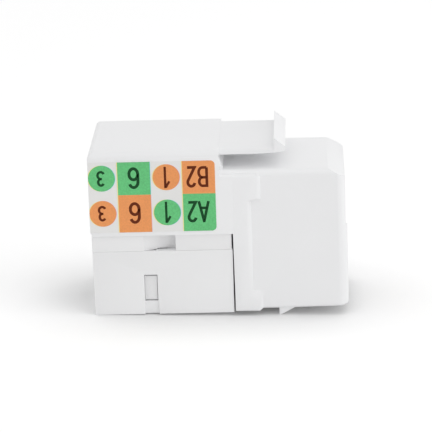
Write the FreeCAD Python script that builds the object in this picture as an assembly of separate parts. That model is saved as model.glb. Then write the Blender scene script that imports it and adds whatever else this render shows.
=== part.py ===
"""Keystone jack: an 8-way modular socket that clips into a keystone cut-out.

The wires are punched into a terminal block with two rows of towers, which a
press-on cap covers. Millimetres. While it is built, X runs out of the plug
opening from the front face (X = 0), Y runs across (0 = middle) and Z runs up
towards the latch from the nominal lower edge of the cut-out. export() then
moves every piece so that the origin lies in the middle of the plug opening.
"""
import FreeCAD, Part
import math
import os

V = FreeCAD.Vector

overrun = 1.0              # how far a cutting tool runs past the face that it opens

# Driving dimensions of the keystone front, from the cut-out that it clips into
front_width = 14.5
front_top_z = 16.1
front_floor_z = -0.2       # underside at the back, which rises towards the plug opening
front_rise = 0.1
panel_gap = 1.8            # panel that is held between the hook and the stop
nose_length, nose_fall = 2.2, 1.22
brow_z, brow_depth = 9.4, 0.2

# Housing
wall = 1.0
roof = 1.08
band_width = 15.24         # stop band round the back of the front section
band_floor_z, band_top_z = -0.38, 15.74
band_bevel = 0.5
ear_length = 1.08
hood_width = 15.3          # rear part, over the circuit board
hood_rear_x = -28.95
hood_front_x = -14.27
hood_top_z = 18.53
hood_floor_z = 8.85
back_wall_x = -12.8        # rear face of the front section, below the hood
back_wall_lean = 0.1       # how far its upper end leans back
port_depth = 11.9
stop_x = -9.7
hook_x = stop_x + panel_gap
hook_tip_z = -1.0
hook_width = 13.9

# Eight-way plug opening
port_width = 11.8
port_floor_z = 5.6
port_roof_z = 12.4
port_axis_z = (port_floor_z + port_roof_z) / 2
tab_width = 6.4
tab_neck_width = 3.4
tab_step = 1.5

# Latch
latch_width = 12.6
latch_thickness = 0.8
latch_edge = 0.6           # rounding of the long top edges
latch_axis_x, latch_axis_z = -14.2, 18.13
latch_bend_x = -10.2       # from here the underside curves up to the tip
catch_x = -8.09
catch_peak_z = 19.5
latch_tip_x = -6.8
latch_tip_top_z, latch_tip_floor_z = 18.5, 17.98
latch_clearance = 0.01

# Terminal block and its towers
block_rear_x, block_front_x = -28.82, -13.08
block_width = 15.0
block_floor_z = 7.0
tower_outer_y, tower_inner_y = 6.45, 3.4
tower_tip_z = 1.1
tower_rear_x, tower_front_x = -27.75, -14.05
first_slot_x = -26.7
slot_pitch = 3.2
slots_per_row = 4
slot_width = 0.8
slot_top_z = 5.6
lug_x0, lug_x1 = -23.05, -21.66
lug_floor_z, lug_top_z = 1.1, 3.95
lug_reach = 0.6
notch_x0, notch_x1 = -22.96, -19.38
notch_shallow, notch_deep = 0.2, 1.45
pry_slot_rear_x = -21.5    # slot for the driver's tip under the notch, behind the cap's rim
pry_slot_floor_z, pry_slot_rise = 4.6, 0.12
pry_slot_depth = 1.3

# Snap tabs that hold the terminal block in the hood
snap_spacing = 6.8         # between the two tabs of a side
snap_width = 2.0
barb_floor_z, barb_top_z = 10.6, 11.4
barb_reach = 0.25          # into the hood's wall

# Insulation-displacement blades, set at 45 degrees to the wires
blade_width, blade_thickness = 2.0, 0.4
blade_tip_z = 2.2
blade_slit, blade_slit_top_z = 0.26, 5.9
blade_shoulder = 2.6
blade_shoulder_z0, blade_shoulder_z1 = 8.4, 8.8
blade_tail, blade_tail_top_z = 0.7, 11.3

# Cap
cap_rear_x, cap_front_x = -28.8, -13.0
cap_width = 15.0
cap_floor_z, cap_top_z = -0.47, 6.98
cap_floor = 1.0            # thickness
cap_end_wall = 0.9
cap_draft = 0.05
cable_radius = 3.2
cable_z = 4.2
window_floor_z, window_top_z = 1.0, 4.18
sunk_depth = 0.4           # of the bridge below the window

# Circuit board
board_z0, board_z1 = 9.4, 10.6
board_rear_x, board_front_x = -27.7, -14.6
board_width = 11.4

# Spring contacts and the insert that carries them
contacts = 8
contact_pitch = 1.02
contact_width, contact_thickness = 0.36, 0.3
contact_run_z = 13.75
contact_fold_x, contact_fold_radius = -3.0, 0.45
contact_slope = 16.8       # degrees that the free arm falls towards the rear
contact_end_x = -12.5
tail_xs = (-16.4, -17.9)   # solder tails, staggered in two rows
insert_width = 11.2
insert_top_z, insert_roof_z = 14.9, 15.0
tongue_front_x, tongue_floor_z = -2.1, 13.2
foot_width = 8.6           # between the tails of the blades

# Label with its printed wiring code
label_x0, label_x1 = -28.9, -14.7
label_z0, label_z1 = 9.32, 17.47
label_thickness = 0.06
ink_thickness = 0.02
label_corner = 0.5
code_disc_radius = 1.5
code_disc_zs = (15.64, 11.55)
code_box_width = 3.64
code_split_z = 13.67
code_x = label_x0 + code_disc_radius    # middle of the first column
code_pitch = 3.62


def box(x0, x1, y0, y1, z0, z1):
    """A block between two opposite corners."""
    return Part.makeBox(x1 - x0, y1 - y0, z1 - z0, V(x0, y0, z0))


def block(x0, x1, width, z0, z1):
    """A block centred on the middle plane."""
    return box(x0, x1, -width / 2, width / 2, z0, z1)


def outline(points):
    """A closed outline through points in space."""
    return Part.makePolygon(points + points[:1])


def flat_faces(corners):
    """One face on four corners, or two triangles where they don't lie in a plane."""
    a, b, c, d = corners
    normal = (b - a).cross(c - a)
    if abs(normal.dot(d - a)) < 1e-9:
        return [Part.Face(outline(corners))]
    return [Part.Face(outline([a, b, c])), Part.Face(outline([a, c, d]))]


def tapered(first, last):
    """A solid with flat sides between two outlines with as many corners, convex at the first."""
    facing = (first[1] - first[0]).cross(first[2] - first[1])
    if facing.dot(last[0] - first[0]) < 0:
        first, last = first[::-1], last[::-1]
    faces = [Part.Face(outline(first[::-1])), Part.Face(outline(last))]
    for i in range(len(first)):
        j = (i + 1) % len(first)
        faces += flat_faces([first[i], first[j], last[j], last[i]])
    return Part.Solid(Part.Shell(faces))


def at_y(points, y):
    """Points of a side outline, given as (x, z), in the plane at y."""
    return [V(x, y, z) for x, z in points]


def prism(points, width, y_middle=0.0):
    """A side outline of (x, z) points, extruded across."""
    face = Part.Face(outline(at_y(points, y_middle - width / 2)))
    return face.extrude(V(0, width, 0))


def bar(x0, x1, points):
    """An end outline of (y, z) points, extruded lengthwise."""
    return Part.Face(outline([V(x0, y, z) for y, z in points])).extrude(V(x1 - x0, 0, 0))


def rod(x, z, radius, width):
    """A round bar that lies across the part."""
    return Part.makeCylinder(radius, width, V(x, -width / 2, z), V(0, 1, 0))


def ends(edge):
    """The two ends of an edge."""
    return edge.Vertexes[0].Point, edge.Vertexes[-1].Point


def along(edge, axis):
    """Whether a straight edge runs along "x", "y" or "z"."""
    a, b = ends(edge)
    step = b - a
    return step.Length > 0 and abs(getattr(step, axis)) > 0.999 * step.Length


def rounded(shape, radius, axis, test):
    """Fillets the straight edges along one axis whose middle passes a test."""
    edges = []
    for edge in shape.Edges:
        a, b = ends(edge)
        if along(edge, axis) and test((a + b) * 0.5):
            edges.append(edge)
    return shape.makeFillet(radius, edges)


def mirrored(shape):
    """A shape and its mirror image on the other side of the middle plane."""
    return [shape, shape.mirror(V(0, 0, 0), V(0, 1, 0))]


def near(a, b):
    return abs(a - b) < 1e-4


# ---------------------------------------------------------------- housing

def front_section():
    """The block behind the panel opening, with its sloped nose and its brow set back."""
    corner_radius, top_radius, lip_radius = 1.2, 0.65, 0.4
    lip_z = front_floor_z + front_rise
    body = prism([(hood_front_x, front_floor_z), (hook_x, front_floor_z), (0, lip_z),
                  (0, front_top_z), (hood_front_x, front_top_z)], front_width)
    body = rounded(body, corner_radius, "z", lambda p: near(p.x, 0))
    body = rounded(body, top_radius, "x", lambda p: near(p.z, front_top_z))
    body = rounded(body, lip_radius, "y", lambda p: near(p.x, 0) and near(p.z, lip_z))
    clear_width = front_width + 2 * overrun
    slope = nose_fall / nose_length
    nose = prism([(-nose_length, front_top_z), (overrun, front_top_z - nose_fall - slope * overrun),
                  (overrun, front_top_z + overrun), (-nose_length, front_top_z + overrun)], clear_width)
    brow = block(-brow_depth, overrun, clear_width, brow_z, front_top_z + overrun)
    return body.cut([nose, brow])


def behind_back_wall():
    """The space behind the leaning back wall, under the hood."""
    low_z = band_floor_z - overrun
    return prism([(hood_front_x - overrun, low_z), (back_wall_x, low_z), (back_wall_x, band_floor_z),
                  (back_wall_x - back_wall_lean, hood_floor_z), (hood_front_x - overrun, hood_floor_z)],
                 hood_width + 2 * overrun)


def stop_band():
    """One bevelled side band, whose ears stop against the back of the panel."""
    waist_x = stop_x - ear_length
    rear_x = back_wall_x - back_wall_lean
    low_ear_z, high_ear_z = 2.05, 12.75
    corner = 0.37
    foot = [(rear_x, band_floor_z), (stop_x - corner, band_floor_z),
            (stop_x, band_floor_z + corner), (stop_x, low_ear_z), (waist_x, low_ear_z),
            (waist_x, high_ear_z), (stop_x, high_ear_z), (stop_x, band_top_z - corner),
            (stop_x - corner, band_top_z), (rear_x, band_top_z)]
    edge_x, waist_edge_x = stop_x - band_bevel, waist_x - band_bevel
    floor_edge_z, top_edge_z = band_floor_z + 0.15, band_top_z - 0.34
    crest = [(rear_x, floor_edge_z), (edge_x - corner, floor_edge_z),
             (edge_x, floor_edge_z + corner), (edge_x, low_ear_z - 1.4), (waist_edge_x, low_ear_z - 0.05),
             (waist_edge_x, high_ear_z - 0.15), (edge_x, high_ear_z + 0.2), (edge_x, top_edge_z - corner),
             (edge_x - corner, top_edge_z), (rear_x, top_edge_z)]
    y_root, y_foot, y_crest = front_width / 2 - 0.25, front_width / 2 + 0.12, band_width / 2
    root = prism(foot, y_foot - y_root, (y_foot + y_root) / 2)
    bevel = tapered(at_y(foot, y_foot), at_y(crest, y_crest))
    return root.fuse(bevel)


def hood():
    """The rear part over the board, and the cheeks that join it to the front."""
    rear_radius, roof_radius, cheek_radius = 0.12, 0.72, 0.35
    heel_length, heel_height = 0.25, 0.5
    body = block(hood_rear_x, hood_front_x, hood_width, hood_floor_z, hood_top_z)
    body = rounded(body, rear_radius, "z", lambda p: near(p.x, hood_rear_x))
    body = rounded(body, roof_radius, "x", lambda p: near(p.z, hood_top_z))
    heel = prism([(hood_rear_x, hood_floor_z + heel_height), (hood_rear_x + heel_length, hood_floor_z),
                  (hood_rear_x + heel_length, hood_floor_z - overrun),
                  (hood_rear_x - overrun, hood_floor_z - overrun),
                  (hood_rear_x - overrun, hood_floor_z + heel_height)], hood_width + 2 * overrun)
    cheeks = block(hood_front_x - wall / 2, back_wall_x, hood_width, hood_floor_z, band_top_z)
    cheeks = rounded(cheeks, cheek_radius, "x", lambda p: near(p.z, band_top_z))
    return body.cut(heel).fuse(cheeks)


def web():
    """A sloping web in the corner between the hood's front wall and the front section."""
    length, height, width = 0.42, 1.4, 12.9
    inside_x, inside_z = hood_front_x - wall / 2, front_top_z - wall / 2
    return prism([(inside_x, inside_z), (hood_front_x + length, inside_z),
                  (hood_front_x + length, front_top_z), (hood_front_x, front_top_z + height),
                  (inside_x, front_top_z + height)], width)


def hook():
    """The fixed hook that drops behind the lower edge of the cut-out."""
    blunt, length = 0.2, 1.7
    root_z = front_floor_z + 0.3
    return prism([(hook_x, root_z), (hook_x, hook_tip_z), (hook_x + blunt, hook_tip_z),
                  (hook_x + length, front_floor_z), (hook_x + length, root_z)], hook_width)


def plug_opening():
    """What is hollow for the plug: body, tab way, mouth chamfer and tab shoulders."""
    deep = -port_depth
    shoulder_x0, shoulder_x1 = -8.5, -1.8
    body = block(deep, overrun, port_width, port_floor_z, port_roof_z)
    tab = block(deep, overrun, tab_width, port_floor_z - tab_step, port_roof_z)
    neck = block(deep, overrun, tab_neck_width, port_floor_z - 2 * tab_step, port_roof_z)
    shoulders = block(shoulder_x0, shoulder_x1, tab_width, port_floor_z - 2 * tab_step, port_roof_z)
    lead = 0.4
    mouth = []
    for x, grow in ((-lead, 0), (0.1, lead + 0.1)):
        y = port_width / 2 + grow
        z0, z1 = port_floor_z - grow, port_roof_z + grow
        mouth.append([V(x, -y, z0), V(x, y, z0), V(x, y, z1), V(x, -y, z1)])
    return [body, tab, neck, shoulders, tapered(*mouth)]


def housing_hollow():
    """The space for the insert and the board, open below for the terminal block."""
    below = hood_floor_z - overrun
    lap = 0.1
    board_room = block(hood_rear_x + wall, hood_front_x - wall, hood_width - 2 * wall,
                       below, hood_top_z - roof)
    passage = block(hood_front_x - wall - lap, back_wall_x, insert_width + 1.1,
                    below, insert_roof_z)
    doorway = block(back_wall_x - lap, -port_depth + lap, insert_width + 0.5,
                    hood_floor_z + lap, insert_roof_z)
    ceiling = block(-port_depth, tongue_front_x + 0.2, insert_width - 0.2,
                    port_roof_z - lap, insert_roof_z)
    return [board_room, passage, doorway, ceiling]


def snap_xs():
    """Where the terminal block's snap tabs stand along the hood."""
    middle = (block_rear_x + block_front_x) / 2
    return [middle - snap_spacing / 2, middle + snap_spacing / 2]


def snap_pockets():
    """The pockets in the hood's side walls that the barbs of the snap tabs spring into."""
    half = snap_width / 2 + 0.1
    inner_y = hood_width / 2 - wall
    pockets = []
    for x in snap_xs():
        pockets += mirrored(box(x - half, x + half, inner_y - 0.15, inner_y + barb_reach + 0.08,
                                barb_floor_z - 0.1, barb_top_z + 0.05))
    return pockets


def roof_ribs():
    """Two ribs under the hood's roof that keep the insert down on the board."""
    rear_x, rib_y, half = -18.5, 3.6, 0.4
    front_x = hood_front_x - wall + 0.1
    rib = box(rear_x, front_x, rib_y - half, rib_y + half, insert_top_z, hood_top_z - roof + 0.1)
    return mirrored(rib)


def make_housing():
    shell = front_section().fuse(mirrored(stop_band())).cut(behind_back_wall())
    shell = shell.fuse([hood(), web(), hook()]).removeSplitter()
    latch_seat = rod(latch_axis_x, latch_axis_z, latch_thickness / 2 + latch_clearance,
                     latch_width + 2 * latch_clearance)
    shell = shell.cut(plug_opening() + housing_hollow() + snap_pockets() + [latch_seat])
    return shell.fuse(roof_ribs()).removeSplitter()


def long_edge_cutter(top):
    """What comes off a long top edge of the latch to round it, from its root to the catch."""
    edge_y, r = latch_width / 2, latch_edge
    x = hood_front_x

    def at(y, z):
        return V(x, y, z)

    middle = at(edge_y - r + r * math.cos(math.pi / 4), top - r + r * math.sin(math.pi / 4))
    wire = Part.Wire([
        Part.Arc(at(edge_y - r, top), middle, at(edge_y, top - r)).toShape(),
        Part.LineSegment(at(edge_y, top - r), at(edge_y + overrun, top - r)).toShape(),
        Part.LineSegment(at(edge_y + overrun, top - r), at(edge_y + overrun, top + overrun)).toShape(),
        Part.LineSegment(at(edge_y + overrun, top + overrun), at(edge_y - r, top + overrun)).toShape(),
        Part.LineSegment(at(edge_y - r, top + overrun), at(edge_y - r, top)).toShape()])
    return Part.Face(wire).extrude(V(catch_x - x, 0, 0))


def make_latch():
    """The pressed arm: a round root, a flat arm and a wedge that catches the panel."""
    half = latch_thickness / 2
    top, under = latch_axis_z + half, latch_axis_z - half
    blunt = 0.06
    rise, reach = latch_tip_floor_z - under, latch_tip_x - latch_bend_x
    y = -latch_width / 2
    bend, middle, tip = at_y([(latch_bend_x, under), (latch_bend_x + reach / 2, under + rise / 4),
                              (latch_tip_x, latch_tip_floor_z)], y)
    rest = at_y([(latch_tip_x, latch_tip_floor_z), (latch_tip_x, latch_tip_top_z),
                 (catch_x + blunt, catch_peak_z), (catch_x, catch_peak_z), (catch_x, top),
                 (latch_axis_x, top), (latch_axis_x, under), (latch_bend_x, under)], y)
    side = Part.Wire([Part.Arc(bend, middle, tip).toShape()] + Part.makePolygon(rest).Edges)
    arm = Part.Face(side).extrude(V(0, latch_width, 0))
    arm = arm.fuse(rod(latch_axis_x, latch_axis_z, half, latch_width)).removeSplitter()
    return arm.cut(mirrored(long_edge_cutter(top)))


# --------------------------------------------------------- terminal block

def slot_xs():
    return [first_slot_x + i * slot_pitch for i in range(slots_per_row)]


def blade_frame(x, y):
    """Turns a blade, drawn flat across the part, by 45 degrees about its own axis."""
    turn = 45 if y > 0 else -45
    return FreeCAD.Placement(V(x, y, 0), FreeCAD.Rotation(V(0, 0, 1), turn))


def tower_row():
    """One comb of towers: wire slots with V mouths, and the pockets of the blades."""
    middle_y = (tower_outer_y + tower_inner_y) / 2
    depth = tower_outer_y - tower_inner_y
    row = box(tower_rear_x, tower_front_x, tower_inner_y, tower_outer_y, tower_tip_z, block_floor_z + 0.1)
    row = rounded(row, 0.4, "x", lambda p: near(p.z, tower_tip_z))
    cuts = []
    half, lead = slot_width / 2, 0.45
    low_z, neck_z = tower_tip_z - 0.1, tower_tip_z + 0.9
    for x in slot_xs():
        cuts.append(prism([(x - half - lead, low_z), (x - half, neck_z), (x - half, slot_top_z),
                           (x + half, slot_top_z), (x + half, neck_z), (x + half + lead, low_z)],
                          depth + overrun, middle_y))
    root_y, lug_y = tower_outer_y - 0.3, tower_outer_y + lug_reach
    lug = bar(lug_x0, lug_x1, [(root_y, lug_floor_z), (lug_y - 0.1, lug_floor_z),
                               (lug_y, lug_floor_z + 0.2), (lug_y, lug_top_z), (root_y, lug_top_z)])
    return row.cut(cuts).fuse(lug)


def pry_notch(edge_y, z0, z1):
    """A tapering notch for a driver under the cap, cut inwards from edge_y."""
    points = [(notch_x0, edge_y + overrun), (notch_x0, edge_y - notch_shallow),
              (notch_x1, edge_y - notch_deep), (notch_x1, edge_y + overrun)]
    foot = Part.Face(outline([V(x, y, z0) for x, y in points]))
    return foot.extrude(V(0, 0, z1 - z0))


def board_rim():
    """The frame on top of the base, inside the hood, that the board lies on."""
    clearance = 0.1
    room_width = hood_width - 2 * (wall + clearance)
    rim = block(hood_rear_x + wall + clearance, hood_front_x - wall - clearance, room_width,
                hood_floor_z, board_z0)
    opening = block(board_rear_x + 0.45, board_front_x - 1.2, board_width - 0.6,
                    hood_floor_z - 0.1, board_z0 + 0.1)
    return rim.cut(opening)


def snap_tab(x):
    """A tab beside the board, with a barb that springs into the hood's wall."""
    half = snap_width / 2
    outer_y = hood_width / 2 - wall - 0.1
    barb_y = hood_width / 2 - wall + barb_reach
    arm = box(x - half, x + half, outer_y - 0.7, outer_y, board_z0 - 0.1, barb_top_z + 0.2)
    barb = bar(x - half, x + half, [
        (outer_y - 0.15, barb_floor_z), (barb_y, barb_floor_z), (barb_y, barb_floor_z + 0.15),
        (outer_y, barb_top_z), (outer_y - 0.15, barb_top_z)])
    return arm.fuse(barb)


def blade_pocket(x, y):
    """The slot that a blade is pressed into from the board's side."""
    clearance = 0.05
    thickness = blade_thickness + 0.06
    half, shoulder_half = blade_width / 2 + clearance, blade_shoulder / 2 + clearance
    top_z = hood_floor_z + 0.15
    shaft = block(-half, half, thickness, 0, top_z)
    shoulder = block(-shoulder_half, shoulder_half, thickness, blade_shoulder_z0, top_z)
    pocket = shaft.fuse(shoulder)
    pocket.Placement = blade_frame(x, y)
    return pocket


def blade_places():
    """Where the blades stand: row, number in the row, and the axis of each."""
    y = (tower_outer_y + tower_inner_y) / 2
    places = []
    for row, side in (("near", -1), ("far", 1)):
        for i, x in enumerate(slot_xs()):
            places.append((row, i + 1, x, side * y))
    return places


def make_terminal_block():
    base = block(block_rear_x, block_front_x, block_width, block_floor_z, hood_floor_z)
    base = rounded(base, 0.15, "z", lambda p: True)
    edge_y = block_width / 2
    base = base.cut(mirrored(pry_notch(edge_y, block_floor_z, hood_floor_z)))
    pry_slot = box(pry_slot_rear_x, notch_x1, edge_y - pry_slot_depth, edge_y, pry_slot_floor_z,
                   block_floor_z + pry_slot_rise)
    body = base.fuse(mirrored(tower_row())).cut(mirrored(pry_slot))
    tabs = []
    for x in snap_xs():
        tabs += mirrored(snap_tab(x))
    body = body.fuse([board_rim()] + tabs)
    pockets = [blade_pocket(x, y) for row, number, x, y in blade_places()]
    return body.cut(pockets).removeSplitter()


def make_blade(x, y):
    """A forked blade that cuts through the insulation, with a tail for the board."""
    slit, half, shoulder, tail = blade_slit / 2, blade_width / 2, blade_shoulder / 2, blade_tail / 2
    lead, throat, tail_bevel = 0.35, 0.7, 0.15
    right = [(slit, blade_slit_top_z), (slit, blade_tip_z + throat), (slit + lead, blade_tip_z),
             (half, blade_tip_z), (half, blade_shoulder_z0), (shoulder, blade_shoulder_z0),
             (shoulder, blade_shoulder_z1), (tail, blade_shoulder_z1),
             (tail, blade_tail_top_z - 2 * tail_bevel), (tail - tail_bevel, blade_tail_top_z)]
    left = [(-x_side, z) for x_side, z in reversed(right)]
    blade = prism(right + left, blade_thickness)
    blade.Placement = blade_frame(x, y)
    return blade


# -------------------------------------------------------------------- cap

def drafted_box(x0, x1, width, z0, z1, draft):
    """A block that narrows downwards by the draft on every side but the front."""
    ends = []
    for z, inset in ((z0, draft), (z1, 0.0)):
        y = width / 2 - inset
        ends.append([V(x0 + inset, -y, z), V(x1, -y, z), V(x1, y, z), V(x0 + inset, y, z)])
    return tapered(*ends)


def side_window():
    """In one side wall: the lug's window, the sunk bridge under it and the groove above."""
    clearance = 0.02
    x0, x1 = lug_x0 - clearance, lug_x1 + 0.08
    outer = cap_width / 2
    window = box(x0, x1, tower_outer_y, outer + overrun, window_floor_z, window_top_z)
    sunk = box(x0, x1 + 0.1, outer - sunk_depth, outer + overrun, cap_floor_z - overrun,
               window_floor_z + 0.1)
    groove_y = tower_outer_y + lug_reach + 0.03
    groove = box(x0, lug_x1 + clearance, tower_outer_y, groove_y, window_floor_z, cap_top_z + overrun)
    return window.fuse([sunk, groove])


def make_cap():
    """A thin-walled cover, open above, with a way for the cable and ribs that press the wires home."""
    shell = drafted_box(cap_rear_x, cap_front_x, cap_width, cap_floor_z, cap_top_z, cap_draft)
    inner_y = tower_outer_y + 0.12
    inner_floor_z = cap_floor_z + cap_floor
    inside = block(cap_rear_x + cap_end_wall, cap_front_x - cap_end_wall, 2 * inner_y,
                   inner_floor_z, cap_top_z + overrun)
    way_x0, way_x1 = cap_rear_x - overrun, cap_rear_x + cap_end_wall + overrun
    cable = Part.makeCylinder(cable_radius, way_x1 - way_x0, V(way_x0, 0, cable_z), V(1, 0, 0))
    cable_top = block(way_x0, way_x1, 2 * cable_radius, cable_z, cap_top_z + overrun)
    shell = shell.cut([inside, cable, cable_top] + mirrored(side_window()))
    ribs = []
    rib_half, rib_top_z = 0.3, 1.9
    for x in slot_xs():
        ribs += mirrored(box(x - rib_half, x + rib_half, tower_inner_y + 0.2, inner_y + 0.01,
                             inner_floor_z - 0.1, rib_top_z))
    return shell.fuse(ribs).removeSplitter()


# ------------------------------------------------ board, contacts, insert

def contact_ys():
    return [(i - (contacts - 1) / 2) * contact_pitch for i in range(contacts)]


def tail_x(i):
    return tail_xs[i % 2]


def make_board():
    """The board, with a plated hole for every blade and every contact."""
    hole_radius = 0.45
    board = block(board_rear_x, board_front_x, board_width, board_z0, board_z1)
    holes = [(x, y) for row, number, x, y in blade_places()]
    holes += [(tail_x(i), y) for i, y in enumerate(contact_ys())]
    depth = board_z1 - board_z0 + 2 * overrun
    drills = [Part.makeCylinder(hole_radius, depth, V(x, y, board_z0 - overrun)) for x, y in holes]
    return board.cut(drills)


def contact_path(i, y, end_x):
    """Centre line of a contact: up the tail, along the roof, folded back into the opening."""
    bend = 0.6
    turn = math.radians(180 - contact_slope)
    rise = V(tail_x(i), y, board_z0 - 0.45)
    knee = V(tail_x(i), y, contact_run_z - bend)
    run = V(tail_x(i) + bend, y, contact_run_z)
    fold = V(contact_fold_x, y, contact_run_z)
    centre = V(contact_fold_x, y, contact_run_z - contact_fold_radius)

    def on_fold(angle):
        return centre + V(math.sin(angle), 0, math.cos(angle)) * contact_fold_radius

    away = V(math.cos(turn), 0, -math.sin(turn))
    back = on_fold(turn)
    tip = back + away * ((end_x - back.x) / away.x)
    corner = V(tail_x(i) + bend - bend * math.cos(math.pi / 4), y,
               contact_run_z - bend + bend * math.sin(math.pi / 4))
    return Part.Wire([
        Part.LineSegment(rise, knee).toShape(),
        Part.Arc(knee, corner, run).toShape(),
        Part.LineSegment(run, fold).toShape(),
        Part.Arc(fold, on_fold(turn / 2), back).toShape(),
        Part.LineSegment(back, tip).toShape()])


def strip(path, thickness, width):
    """A flat strip that follows a path, which starts upwards."""
    start = path.Edges[0].Vertexes[0].Point
    corners = [V(-thickness / 2, -width / 2, 0), V(thickness / 2, -width / 2, 0),
               V(thickness / 2, width / 2, 0), V(-thickness / 2, width / 2, 0)]
    return path.makePipeShell([outline([start + c for c in corners])], True, False)


def make_contact(i, y):
    return strip(contact_path(i, y, contact_end_x), contact_thickness, contact_width)


def make_insert():
    """The comb that holds the contacts: foot on the board, back wall of the port, roof tongue."""
    foot_rear_x = -19.2
    foot = block(foot_rear_x, back_wall_x, foot_width, board_z1, insert_top_z)
    back = block(board_front_x + 0.2, -port_depth, insert_width, hood_floor_z + 0.15, insert_top_z)
    tongue = block(-port_depth - 0.1, tongue_front_x, insert_width - 0.4,
                   tongue_floor_z, insert_top_z)
    tongue = rounded(tongue, 0.3, "y", lambda p: near(p.x, tongue_front_x) and near(p.z, tongue_floor_z))
    body = foot.fuse([back, tongue]).removeSplitter()
    half, lap = 0.25, 0.1  # half the width of a groove, and how far its stretches overlap
    groove_roof_z = contact_run_z + half
    slot_rear_x, slot_floor_z = contact_end_x - 0.7, 9.5
    cuts = []
    for i, y in enumerate(contact_ys()):
        x, low, high = tail_x(i), y - half, y + half
        along_roof = box(x - half, tongue_front_x + half, low, high, tongue_floor_z, groove_roof_z)
        round_tail = box(x - half, x + 0.55, low, high, board_z1 - lap, tongue_floor_z + lap)
        behind_tip = box(slot_rear_x, -port_depth + lap, low, high, slot_floor_z, tongue_floor_z + lap)
        cuts += [along_roof, round_tail, behind_tip]
    return body.cut(cuts)


# ------------------------------------------------------------------ label

def label_plate(x0, x1, z0, z1, y, thickness, corner_ends):
    """A thin plate on the near side, rounded at the given ends of its right-hand edge."""
    plate = box(x0, x1, y - thickness, y, z0, z1)
    if corner_ends:
        plate = rounded(plate, label_corner, "y",
                        lambda p: near(p.x, x1) and any(near(p.z, z) for z in corner_ends))
    return plate


def make_label():
    return label_plate(label_x0, label_x1, label_z0, label_z1, -hood_width / 2,
                       label_thickness, (label_z0, label_z1))


def code_fields(starts_upper):
    """The printed fields of one colour, which swap rows half way along the label."""
    y = -hood_width / 2 - label_thickness
    last = 3
    fields = []
    for column in range(last + 1):
        x = code_x + column * code_pitch
        upper = (column < 2) == starts_upper
        if column % 2 == 0:
            z = code_disc_zs[0 if upper else 1]
            fields.append(Part.makeCylinder(code_disc_radius, ink_thickness, V(x, y, z), V(0, -1, 0)))
            continue
        x0 = x - code_box_width / 2
        x1 = label_x1 if column == last else x0 + code_box_width
        z0, z1 = (code_split_z, label_z1) if upper else (label_z0, code_split_z)
        corner = (z1 if upper else z0,) if column == last else ()
        fields.append(label_plate(x0, x1, z0, z1, y, ink_thickness, corner))
    return Part.makeCompound(fields)


# ----------------------------------------------------------------- export

def export(shape, node):
    """Moves a piece so that the origin is in the middle of the plug opening, and writes it."""
    moved = shape.copy()
    moved.translate(V(0, 0, -port_axis_z))
    moved.exportStep("parts/" + node + ".step")


def main():
    os.makedirs("parts", exist_ok=True)
    export(make_housing(), "housing")
    export(make_latch(), "latch_arm")
    export(make_terminal_block(), "terminal_block")
    export(make_cap(), "cover_cap")
    export(make_board(), "circuit_board")
    export(make_insert(), "contact_insert")
    for i, y in enumerate(contact_ys()):
        export(make_contact(i, y), "spring_contact_%d" % (i + 1))
    for row, number, x, y in blade_places():
        export(make_blade(x, y), "idc_blade_%s_%d" % (row, number))
    export(make_label(), "label")
    export(code_fields(True), "label_print_green")
    export(code_fields(False), "label_print_orange")


main()
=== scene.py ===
import bmesh
import bpy
import math
from mathutils import Matrix, Vector


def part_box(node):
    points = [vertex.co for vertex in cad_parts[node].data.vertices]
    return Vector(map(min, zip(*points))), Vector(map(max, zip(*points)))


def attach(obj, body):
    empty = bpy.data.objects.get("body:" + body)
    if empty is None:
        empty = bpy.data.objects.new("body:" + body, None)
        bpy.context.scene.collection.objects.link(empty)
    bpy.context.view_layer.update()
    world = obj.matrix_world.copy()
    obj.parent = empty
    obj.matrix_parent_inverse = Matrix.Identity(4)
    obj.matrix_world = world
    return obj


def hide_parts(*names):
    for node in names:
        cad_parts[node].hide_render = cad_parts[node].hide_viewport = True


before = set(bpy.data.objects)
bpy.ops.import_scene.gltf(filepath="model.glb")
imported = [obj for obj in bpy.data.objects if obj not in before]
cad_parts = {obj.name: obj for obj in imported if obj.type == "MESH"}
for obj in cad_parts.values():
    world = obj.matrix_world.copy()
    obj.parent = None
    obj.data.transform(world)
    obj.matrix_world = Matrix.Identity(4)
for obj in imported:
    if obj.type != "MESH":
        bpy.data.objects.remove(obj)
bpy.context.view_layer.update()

scene = bpy.context.scene
scene.view_settings.view_transform = "Standard"


# ----------------------------------------------------------------- camera
# The camera stands a third of a metre off the side with the label, a little
# above the jack, with a long lens. It is turned so that the jack sits nose up.

mm = 0.001
azimuth = math.radians(2.088)
elevation = math.radians(16.255)
roll = math.radians(1.85)
distance = 308.9 * mm
target = Vector((-15.009, 0, -0.245)) * mm

back = Vector((math.sin(azimuth) * math.cos(elevation), -math.cos(azimuth) * math.cos(elevation),
               math.sin(elevation)))
level = (-back).cross(Vector((0, 0, 1))).normalized()
upright = level.cross(-back)
right = math.cos(roll) * level - math.sin(roll) * upright
up = math.sin(roll) * level + math.cos(roll) * upright

camera_data = bpy.data.cameras.new("camera")
camera_data.lens = 223.8
camera_data.sensor_width = 36
camera_data.clip_start = 0.01
camera = bpy.data.objects.new("camera", camera_data)
facing = Matrix((right, up, back)).transposed().to_4x4()
camera.matrix_world = Matrix.Translation(target + back * distance) @ facing
scene.collection.objects.link(camera)
scene.camera = camera


# ----------------------------------------------------------- floor, light
# The jack rests on two edges, the heel of its cap and the tip of its hook, so
# the pale table that it stands on tips down a little towards the plug opening.

heel_radius = 0.12 * mm
hook_tip_x = -7.8 * mm
table_reach = 3.0          # metres each way
cap_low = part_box("cover_cap")[0]
jack_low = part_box("housing")[0]
heel = Vector((cap_low.x + heel_radius, 0, cap_low.z))
toe = Vector((hook_tip_x, 0, jack_low.z))
tip_angle = math.atan2(heel.z - toe.z, toe.x - heel.x)

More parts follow.
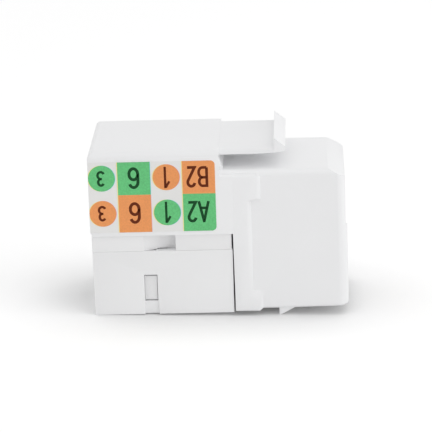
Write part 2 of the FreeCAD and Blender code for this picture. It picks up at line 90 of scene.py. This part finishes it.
table = bmesh.new()
bmesh.ops.create_grid(table, x_segments=1, y_segments=1, size=table_reach)
bmesh.ops.rotate(table, verts=table.verts, matrix=Matrix.Rotation(tip_angle, 3, "Y"))
bmesh.ops.translate(table, verts=table.verts, vec=(heel + toe) / 2)
floor_data = bpy.data.meshes.new("floor")
table.to_mesh(floor_data)
table.free()
floor = bpy.data.objects.new("floor", floor_data)
scene.collection.objects.link(floor)

paper_white = 0.93         # as it throws light back at the jack
seen_white = 1.09          # as it looks away from the jack
painted_shadow_level = 0.70         # painted shadow: how dark the paper is painted as it looks close under the jack
painted_shadow_reach = 11 * mm      # how far from the jack the painted shadow reaches
deepest_painted_shadow = 0.35       # share of open sky at which the painted shadow gets no darker
paper_glow = 0.08


def seen(nodes, links):
    """1 where the eye looks, straight on, in a mirror or through something clear, and 0 elsewhere."""
    path = nodes.new("ShaderNodeLightPath")
    mirrored = nodes.new("ShaderNodeMath")
    clear = nodes.new("ShaderNodeMath")
    clear.use_clamp = True
    links.new(path.outputs["Is Camera Ray"], mirrored.inputs[0])
    links.new(path.outputs["Is Glossy Ray"], mirrored.inputs[1])
    links.new(mirrored.outputs[0], clear.inputs[0])
    links.new(path.outputs["Is Transmission Ray"], clear.inputs[1])
    return clear.outputs[0]


paper = bpy.data.materials.new("table_paper")
paper.use_nodes = True
nodes, links = paper.node_tree.nodes, paper.node_tree.links
nodes.clear()
output = nodes.new("ShaderNodeOutputMaterial")
matt = nodes.new("ShaderNodeBsdfDiffuse")
looked_at = seen(nodes, links)
# Painted shadow: where the ambient-occlusion node finds the jack close by, the paper's colour as the eye
# sees it is darkened, on top of the lamps' own shadows.
open_sky = nodes.new("ShaderNodeAmbientOcclusion")
open_sky.inputs["Distance"].default_value = painted_shadow_reach
shade = nodes.new("ShaderNodeMapRange")
shade.inputs["From Min"].default_value = deepest_painted_shadow
shade.inputs["To Min"].default_value = painted_shadow_level
shade.inputs["To Max"].default_value = seen_white
whiteness = nodes.new("ShaderNodeMapRange")
whiteness.inputs["To Min"].default_value = paper_white
glow = nodes.new("ShaderNodeEmission")
lift = nodes.new("ShaderNodeMath")
lift.operation = "MULTIPLY"
lift.inputs[1].default_value = paper_glow
both = nodes.new("ShaderNodeAddShader")
links.new(open_sky.outputs["AO"], shade.inputs["Value"])
links.new(looked_at, whiteness.inputs["Value"])
links.new(shade.outputs["Result"], whiteness.inputs["To Max"])
links.new(whiteness.outputs["Result"], matt.inputs["Color"])
links.new(looked_at, lift.inputs[0])
links.new(lift.outputs[0], glow.inputs["Strength"])
links.new(matt.outputs[0], both.inputs[0])
links.new(glow.outputs[0], both.inputs[1])
links.new(both.outputs[0], output.inputs["Surface"])
floor_data.materials.append(paper)

sky_level = 0.78           # as it lights the jack
seen_sky_level = 1.0       # as it looks
world = bpy.data.worlds.new("studio")
scene.world = world
world.use_nodes = True
nodes, links = world.node_tree.nodes, world.node_tree.links
sky = nodes["Background"]
sky.inputs["Color"].default_value = (1, 1, 1, 1)
strength = nodes.new("ShaderNodeMapRange")
strength.inputs["To Min"].default_value = sky_level
strength.inputs["To Max"].default_value = seen_sky_level
links.new(seen(nodes, links), strength.inputs["Value"])
links.new(strength.outputs["Result"], sky.inputs["Strength"])


def softbox(name, place, size, power):
    """A square lamp, in metres and watts, that faces the middle of the jack."""
    data = bpy.data.lights.new(name, "AREA")
    data.size = size
    data.energy = power
    lamp = bpy.data.objects.new(name, data)
    lamp.location = place
    lamp.rotation_euler = (target - Vector(place)).to_track_quat("-Z", "Y").to_euler()
    scene.collection.objects.link(lamp)


softbox("side_light", (0.50, -0.12, 0.06), size=0.30, power=0.34)
softbox("top_light", (0.26, -0.14, 0.38), size=0.35, power=0.26)


# ---------------------------------------------------------------- housing
# One injection moulding in white ABS: the front section that fills the panel
# opening, the bands that stop against the panel, the hook and the hood over
# the circuit board. The mould's own radii break its edges.

def moulded_skin():
    """Shared finish of moulded plastic and ink: fine grain, faint cloudiness, and speckle in ink."""
    group = bpy.data.node_groups.new("moulded_skin", "ShaderNodeTree")
    face = group.interface
    face.new_socket("Tint", in_out="INPUT", socket_type="NodeSocketColor")
    for name in ("Cloud", "Speckle", "Grain", "Fineness", "Gloss"):
        face.new_socket(name, in_out="INPUT", socket_type="NodeSocketFloat")
    face.new_socket("Color", in_out="OUTPUT", socket_type="NodeSocketColor")
    face.new_socket("Roughness", in_out="OUTPUT", socket_type="NodeSocketFloat")
    face.new_socket("Height", in_out="OUTPUT", socket_type="NodeSocketFloat")
    nodes, links = group.nodes, group.links
    given = nodes.new("NodeGroupInput")
    result = nodes.new("NodeGroupOutput")
    place = nodes.new("ShaderNodeTexCoord")
    cloud_patch = 6.25 * mm
    sheen_swing = 0.1

    cloud = nodes.new("ShaderNodeTexNoise")
    cloud.inputs["Scale"].default_value = 1 / cloud_patch
    cloud.inputs["Detail"].default_value = 3
    links.new(place.outputs["Object"], cloud.inputs["Vector"])
    swing = nodes.new("ShaderNodeMapRange")
    swing.inputs["To Min"].default_value = -1
    links.new(cloud.outputs["Fac"], swing.inputs["Value"])
    amount = nodes.new("ShaderNodeMath")
    amount.operation = "MULTIPLY_ADD"
    amount.inputs[2].default_value = 1
    links.new(swing.outputs["Result"], amount.inputs[0])
    links.new(given.outputs["Cloud"], amount.inputs[1])

    grain = nodes.new("ShaderNodeTexNoise")
    grain.inputs["Detail"].default_value = 2
    links.new(place.outputs["Object"], grain.inputs["Vector"])
    links.new(given.outputs["Fineness"], grain.inputs["Scale"])
    fleck = nodes.new("ShaderNodeMapRange")
    fleck.inputs["To Min"].default_value = -1
    links.new(grain.outputs["Fac"], fleck.inputs["Value"])
    speckled = nodes.new("ShaderNodeMath")
    speckled.operation = "MULTIPLY_ADD"
    links.new(fleck.outputs["Result"], speckled.inputs[0])
    links.new(given.outputs["Speckle"], speckled.inputs[1])
    links.new(amount.outputs[0], speckled.inputs[2])
    shade = nodes.new("ShaderNodeVectorMath")
    shade.operation = "SCALE"
    links.new(given.outputs["Tint"], shade.inputs[0])
    links.new(speckled.outputs[0], shade.inputs["Scale"])
    links.new(shade.outputs["Vector"], result.inputs["Color"])

    depth = nodes.new("ShaderNodeMath")
    depth.operation = "MULTIPLY"
    links.new(grain.outputs["Fac"], depth.inputs[0])
    links.new(given.outputs["Grain"], depth.inputs[1])
    links.new(depth.outputs[0], result.inputs["Height"])

    sheen = nodes.new("ShaderNodeMath")
    sheen.operation = "MULTIPLY_ADD"
    sheen.inputs[1].default_value = sheen_swing
    links.new(grain.outputs["Fac"], sheen.inputs[0])
    links.new(given.outputs["Gloss"], sheen.inputs[2])
    links.new(sheen.outputs[0], result.inputs["Roughness"])
    return group


skin = moulded_skin()


def moulded(name, tint, gloss=0.40, cloud=0.012, grain=0.006 * mm, fineness=9000.0, speckle=0.0,
             metallic=0.0, shine=0.5):
    """A material with the shared finish. Grain is how deep, and fineness how many grains to a metre."""
    material = bpy.data.materials.new(name)
    material.use_nodes = True
    nodes, links = material.node_tree.nodes, material.node_tree.links
    shader = nodes["Principled BSDF"]
    shader.inputs["Metallic"].default_value = metallic
    shader.inputs["Specular IOR Level"].default_value = shine
    finish = nodes.new("ShaderNodeGroup")
    finish.node_tree = skin
    finish.inputs["Tint"].default_value = (*tint, 1)
    finish.inputs["Cloud"].default_value = cloud
    finish.inputs["Speckle"].default_value = speckle
    finish.inputs["Gloss"].default_value = gloss
    finish.inputs["Grain"].default_value = grain
    finish.inputs["Fineness"].default_value = fineness
    bump = nodes.new("ShaderNodeBump")
    bump.inputs["Distance"].default_value = 1.0
    links.new(finish.outputs["Color"], shader.inputs["Base Color"])
    links.new(finish.outputs["Roughness"], shader.inputs["Roughness"])
    links.new(finish.outputs["Height"], bump.inputs["Height"])
    links.new(bump.outputs["Normal"], shader.inputs["Normal"])
    return material


sharp_angle = math.radians(35)
same_point = 0.0005 * mm
flat_angle = math.radians(0.3)


def softened(node, material, body, radius, seam=None):
    """The same moulding with its sharp edges broken by a small radius, apart from those in a seam."""
    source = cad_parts[node]
    mesh = bmesh.new()
    mesh.from_mesh(source.data)
    bmesh.ops.remove_doubles(mesh, verts=mesh.verts, dist=same_point)
    bmesh.ops.dissolve_limit(mesh, angle_limit=flat_angle, verts=mesh.verts, edges=mesh.edges)
    for facet in mesh.faces:
        facet.smooth = True
    broken = mesh.edges.layers.float.new("bevel_weight_edge")
    for edge in mesh.edges:
        in_seam = seam is not None and all(seam(corner.co) for corner in edge.verts)
        if len(edge.link_faces) == 2 and edge.calc_face_angle() > sharp_angle:
            edge[broken] = 0.0 if in_seam else 1.0
            edge.smooth = not in_seam
    data = bpy.data.meshes.new(node + "_moulding")
    mesh.to_mesh(data)
    mesh.free()
    data.materials.append(material)
    piece = bpy.data.objects.new(node + "_moulding", data)
    scene.collection.objects.link(piece)
    bevel = piece.modifiers.new("broken_edges", "BEVEL")
    bevel.width = radius
    bevel.segments = 2
    bevel.limit_method = "WEIGHT"
    bevel.harden_normals = True
    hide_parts(node)
    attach(piece, body)


latch_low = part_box("latch_arm")[0]
root_length = 0.6 * mm
root_margin = 0.1 * mm


def at_latch_root(point):
    """Whether a point lies on the seam where the latch arm grows out of the hood."""
    along = latch_low.x - root_margin < point.x < latch_low.x + root_length
    return along and point.z > latch_low.z - root_margin


housing_plastic = moulded("housing_abs", (0.92, 0.922, 0.93))
softened("housing", housing_plastic, "jack", radius=0.07 * mm,
         seam=at_latch_root)


# -------------------------------------------------------------- latch arm
# The springy arm on top, moulded with the housing. The panel's edge rides up
# its wedge and drops behind the catch; a thumb presses it down to let go.

softened("latch_arm", housing_plastic, "latch", radius=0.05 * mm,
         seam=at_latch_root)


# --------------------------------------------------------- terminal block
# White PBT, moulded on its own and snapped up into the hood. Its base shows
# as a strip over the cap, and its towers guide the wires onto the blades.

block_plastic = moulded("terminal_block_pbt", (0.91, 0.91, 0.915), gloss=0.45)
softened("terminal_block", block_plastic, "jack", radius=0.05 * mm)


# -------------------------------------------------------------------- cap
# A thin-walled white ABS cover that snaps over the towers and presses the
# wires home. It is held by a lug in the window of each side wall.

cap_plastic = moulded("cap_abs", (0.92, 0.922, 0.928))
softened("cover_cap", cap_plastic, "cap", radius=0.06 * mm)


# ---------------------------------------------------- insert and contacts
# The comb is natural PBT; the eight contacts are phosphor-bronze strip, hard
# gold over nickel where the plug touches, pressed into the comb's grooves.

insert_plastic = moulded("insert_pbt", (0.72, 0.71, 0.68), gloss=0.5)
gold = moulded("hard_gold", (0.86, 0.62, 0.25), gloss=0.2, cloud=0.05, grain=0.002 * mm,
               fineness=20000.0, metallic=1.0)


def finish_node(node, material):
    """A carried-over CAD piece takes a finish of its own."""
    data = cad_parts[node].data
    data.materials.clear()
    data.materials.append(material)


finish_node("contact_insert", insert_plastic)
for number in range(1, 9):
    finish_node("spring_contact_%d" % number, gold)


# ------------------------------------------------------- board and blades
# A small FR4 board with green solder resist joins contacts to blades. The
# blades are tin-plated bronze, pressed through the base and the board.

resist = moulded("solder_resist", (0.03, 0.16, 0.08), gloss=0.2, cloud=0.1, grain=0.004 * mm,
                 fineness=5000.0)
tin = moulded("tin_plate", (0.72, 0.72, 0.7), gloss=0.28, cloud=0.06, grain=0.002 * mm,
              fineness=16000.0, metallic=1.0)
finish_node("circuit_board", resist)
for row in ("near", "far"):
    for number in range(1, 5):
        finish_node("idc_blade_%s_%d" % (row, number), tin)


# ------------------------------------------------------------------ label
# A printed vinyl label on the near cheek gives the wiring code: discs and
# boxes of green and orange ink, with the pin numbers overprinted in black.
# The inks went on a hair out of register, so one shows along each side.

def inked(name, tint, gloss=0.38, cloud=0.04, speckle=0.0, shine=0.5):
    """A film of ink that takes the fine grain of the vinyl."""
    return moulded(name, tint, gloss=gloss, cloud=cloud, grain=0.002 * mm, fineness=6000.0,
                   speckle=speckle, shine=shine)


vinyl = moulded("label_vinyl", (0.86, 0.855, 0.842), gloss=0.35, cloud=0.02, grain=0.002 * mm,
                fineness=3000.0)
green_ink = inked("green_ink", (0.127, 0.585, 0.207), cloud=0.06, speckle=0.24)
orange_ink = inked("orange_ink", (0.895, 0.335, 0.104), cloud=0.05, speckle=0.15)
yellow_ink = inked("yellow_ink", (0.95, 0.83, 0.34))
cyan_ink = inked("cyan_ink", (0.127, 0.60, 0.74))
magenta_ink = inked("magenta_ink", (0.82, 0.34, 0.42))
finish_node("label", vinyl)
finish_node("label_print_green", green_ink)
finish_node("label_print_orange", orange_ink)

label_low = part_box("label")[0]
yellow_slip = -0.09 * mm   # to the left
other_slip = 0.045 * mm    # cyan and magenta, to the right
below_the_top_ink = 0.006 * mm
before_last_box = label_low.x + 10.4 * mm


def slipped_pass(node, colour, ink, slip, cut_x):
    """One ink of a colour's fields, printed a little too far to one side and cut off at cut_x."""
    mesh = bmesh.new()
    mesh.from_mesh(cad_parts[node].data)
    bmesh.ops.remove_doubles(mesh, verts=mesh.verts, dist=same_point)
    bmesh.ops.translate(mesh, verts=mesh.verts, vec=(slip, below_the_top_ink, 0))
    bmesh.ops.bisect_plane(mesh, geom=mesh.verts[:] + mesh.edges[:] + mesh.faces[:],
                           plane_co=(cut_x, 0, 0), plane_no=(math.copysign(1, slip), 0, 0), clear_outer=True)
    open_edges = [edge for edge in mesh.edges if edge.is_boundary]
    bmesh.ops.holes_fill(mesh, edges=open_edges)
    name = "%s_%s_pass" % (node, colour)
    data = bpy.data.meshes.new(name)
    mesh.to_mesh(data)
    mesh.free()
    data.materials.append(ink)
    piece = bpy.data.objects.new(name, data)
    scene.collection.objects.link(piece)
    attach(piece, "jack")


for node, colour, other_ink in (("label_print_green", "cyan", cyan_ink),
                                ("label_print_orange", "magenta", magenta_ink)):
    slipped_pass(node, "yellow", yellow_ink, yellow_slip, label_low.x)
    slipped_pass(node, colour, other_ink, other_slip, before_last_box)


# ------------------------------------------------------------- characters
# Black ink over the colours, in strokes of even width. They are upside down
# on the jack, because the code is read with the cap uppermost.

black_on_green = inked("black_over_green", (0.011, 0.074, 0.024), gloss=0.4, cloud=0.1, shine=0.1)
black_on_orange = inked("black_over_orange", (0.142, 0.028, 0.009), gloss=0.4, cloud=0.1, shine=0.1)
ink_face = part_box("label_print_green")[0].y
ink_film = 0.01 * mm
turn_step = 12             # degrees
fewest_steps = 4
first_mark_x = label_low.x + 1.44 * mm
upper_row_z = label_low.z + 6.30 * mm
lower_row_z = label_low.z + 2.25 * mm


def bow(x, y, width, height, start, end):
    """Points round part of an ellipse, from one angle to another in degrees."""
    steps = max(fewest_steps, round(abs(end - start) / turn_step))
    turns = [math.radians(start + (end - start) * i / steps) for i in range(steps + 1)]
    return [(x + width / 2 * math.cos(t), y + height / 2 * math.sin(t)) for t in turns]


def strokes_of(character):
    """The centre lines of a character, upright, in millimetres from its middle."""
    if character == "1":
        return [[(0.24, -1.23), (0.24, 1.23)], [(0.20, 1.16), (-0.22, 0.46)]]
    if character == "2":
        return [bow(0, 0.62, 0.78, 0.94, 170, -35) + [(-0.40, -1.09), (0.42, -1.09)]]
    if character == "3":
        return [bow(0.0, 0.40, 0.62, 0.76, 155, -90), bow(0.0, -0.38, 0.72, 0.80, 90, -155),
                [(-0.12, 0.02), (0.02, 0.02)]]
    if character == "6":
        return [bow(0, -0.45, 0.98, 1.28, 0, 360), bow(0, 0.42, 0.98, 1.34, 24, 180) + [(-0.49, -0.45)]]
    if character == "A":
        return [[(-0.54, -1.2), (-0.01, 1.1), (0.01, 1.1), (0.54, -1.2)], [(-0.38, -0.42), (0.38, -0.42)]]
    return [[(-0.44, -1.06), (-0.44, 1.06), (0.03, 1.06)] + bow(0.03, 0.57, 0.76, 0.98, 90, -90)
            + [(-0.44, 0.08)], [(0.0, 0.08)] + bow(0.03, -0.49, 0.84, 1.14, 90, -90) + [(-0.44, -1.06)]]


def print_character(name, character, x, z, pen, ink):
    """One character, drawn upside down on the label with a pen of one width."""
    lines = bpy.data.curves.new(name, "CURVE")
    lines.dimensions = "2D"
    lines.fill_mode = "NONE"
    lines.bevel_depth = pen / 2
    lines.bevel_resolution = 1
    lines.use_fill_caps = True
    for points in strokes_of(character):
        spline = lines.splines.new("POLY")
        spline.points.add(len(points) - 1)
        for point, (across, up_page) in zip(spline.points, points):
            point.co = (across * mm, up_page * mm, 0, 1)
    drawn = bpy.data.objects.new(name + "_strokes", lines)
    flat = bpy.data.meshes.new_from_object(drawn)
    bpy.data.objects.remove(drawn)
    mesh = bmesh.new()
    mesh.from_mesh(flat)
    bmesh.ops.scale(mesh, verts=mesh.verts, vec=(1, 1, 2 * ink_film / pen))
    bmesh.ops.remove_doubles(mesh, verts=mesh.verts, dist=same_point)
    bmesh.ops.recalc_face_normals(mesh, faces=mesh.faces)
    turned = Matrix(((-1, 0, 0), (0, 0, -1), (0, -1, 0)))
    bmesh.ops.transform(mesh, verts=mesh.verts, matrix=turned.to_4x4())
    bmesh.ops.translate(mesh, verts=mesh.verts, vec=(x, ink_face, z))
    data = bpy.data.meshes.new(name)
    mesh.to_mesh(data)
    mesh.free()
    data.materials.append(ink)
    piece = bpy.data.objects.new(name, data)
    scene.collection.objects.link(piece)
    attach(piece, "jack")


def print_row(row, letter, z, left_ink, right_ink):
    """A row's pins and mark, each with its distance from the first and its pen, in millimetres."""
    for kind, character, along, pen, ink in (("pin", "3", 0, 0.28, left_ink),
                                             ("pin", "6", 3.65, 0.34, left_ink),
                                             ("pin", "1", 7.42, 0.27, right_ink),
                                             ("row", letter, 11.40, 0.31, right_ink),
                                             ("row", "2", 10.10, 0.32, right_ink)):
        name = "%s_mark_%s_%s" % (kind, row, character)
        print_character(name, character, first_mark_x + along * mm, z, pen * mm, ink)


print_row("upper", "B", upper_row_z, black_on_green, black_on_orange)
print_row("lower", "A", lower_row_z, black_on_orange, black_on_green)
